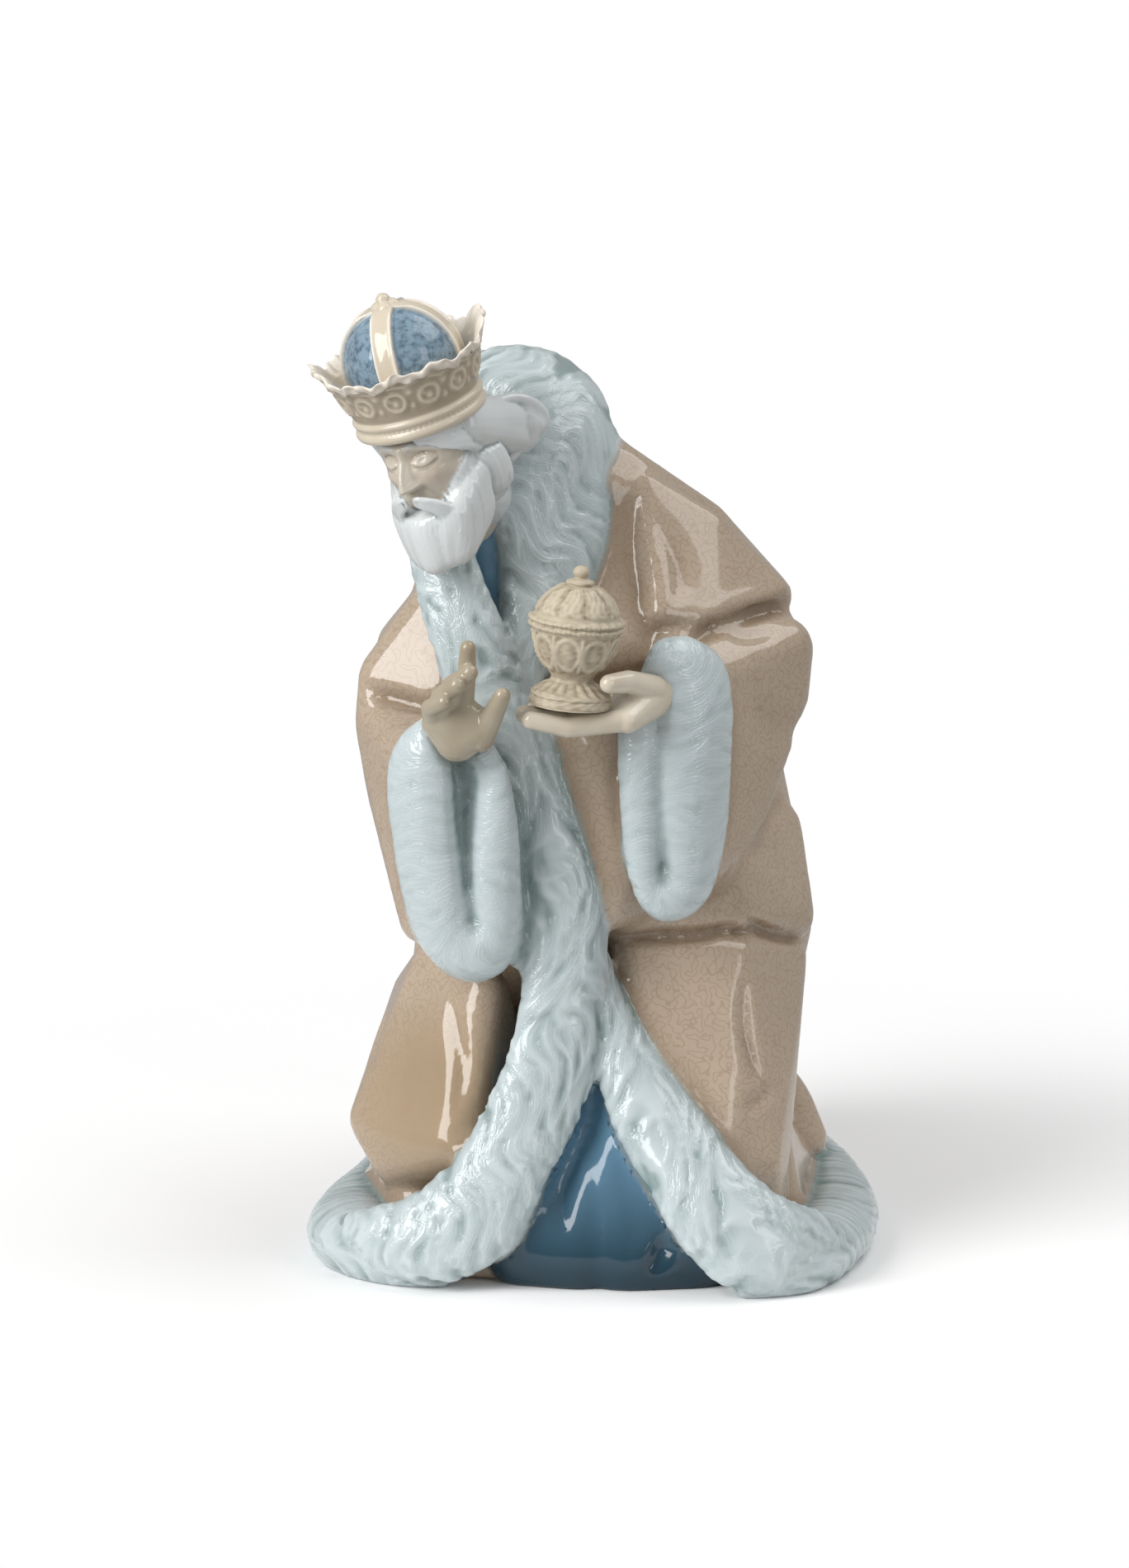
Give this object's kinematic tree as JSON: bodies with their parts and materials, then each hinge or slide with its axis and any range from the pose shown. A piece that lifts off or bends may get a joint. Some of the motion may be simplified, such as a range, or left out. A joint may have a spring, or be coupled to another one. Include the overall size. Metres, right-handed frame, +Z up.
{
  "type": "nativity wise man figurine",
  "caption": "Glossy porcelain figurine of a kneeling, crowned king in a fur-trimmed robe, one hand raised, holding a small covered urn on the other palm.",
  "frame": {"origin": "middle of the flat underside of the base, on the table", "axes": "+Z up, -Y the way the figure faces, +X to the figure's own left"},
  "size_m": [0.1414, 0.1607, 0.2401],
  "materials": {
    "robe_glaze": "glossy glaze over a tan ground with a darker winding line",
    "fur_glaze": "glossy pale aqua glaze over carved fur",
    "tunic_glaze": "glossy blue glaze",
    "skin_glaze": "glossy pale flesh glaze",
    "hair_glaze": "glossy grey-white glaze",
    "crown_glaze": "satin beige glaze with mottled blue panels",
    "urn_biscuit": "matt to satin beige, fine-textured"
  },
  "bodies": {
    "root": {"wise_man": "robe_glaze", "incense_urn": "urn_biscuit"}
  },
  "joints": []
}
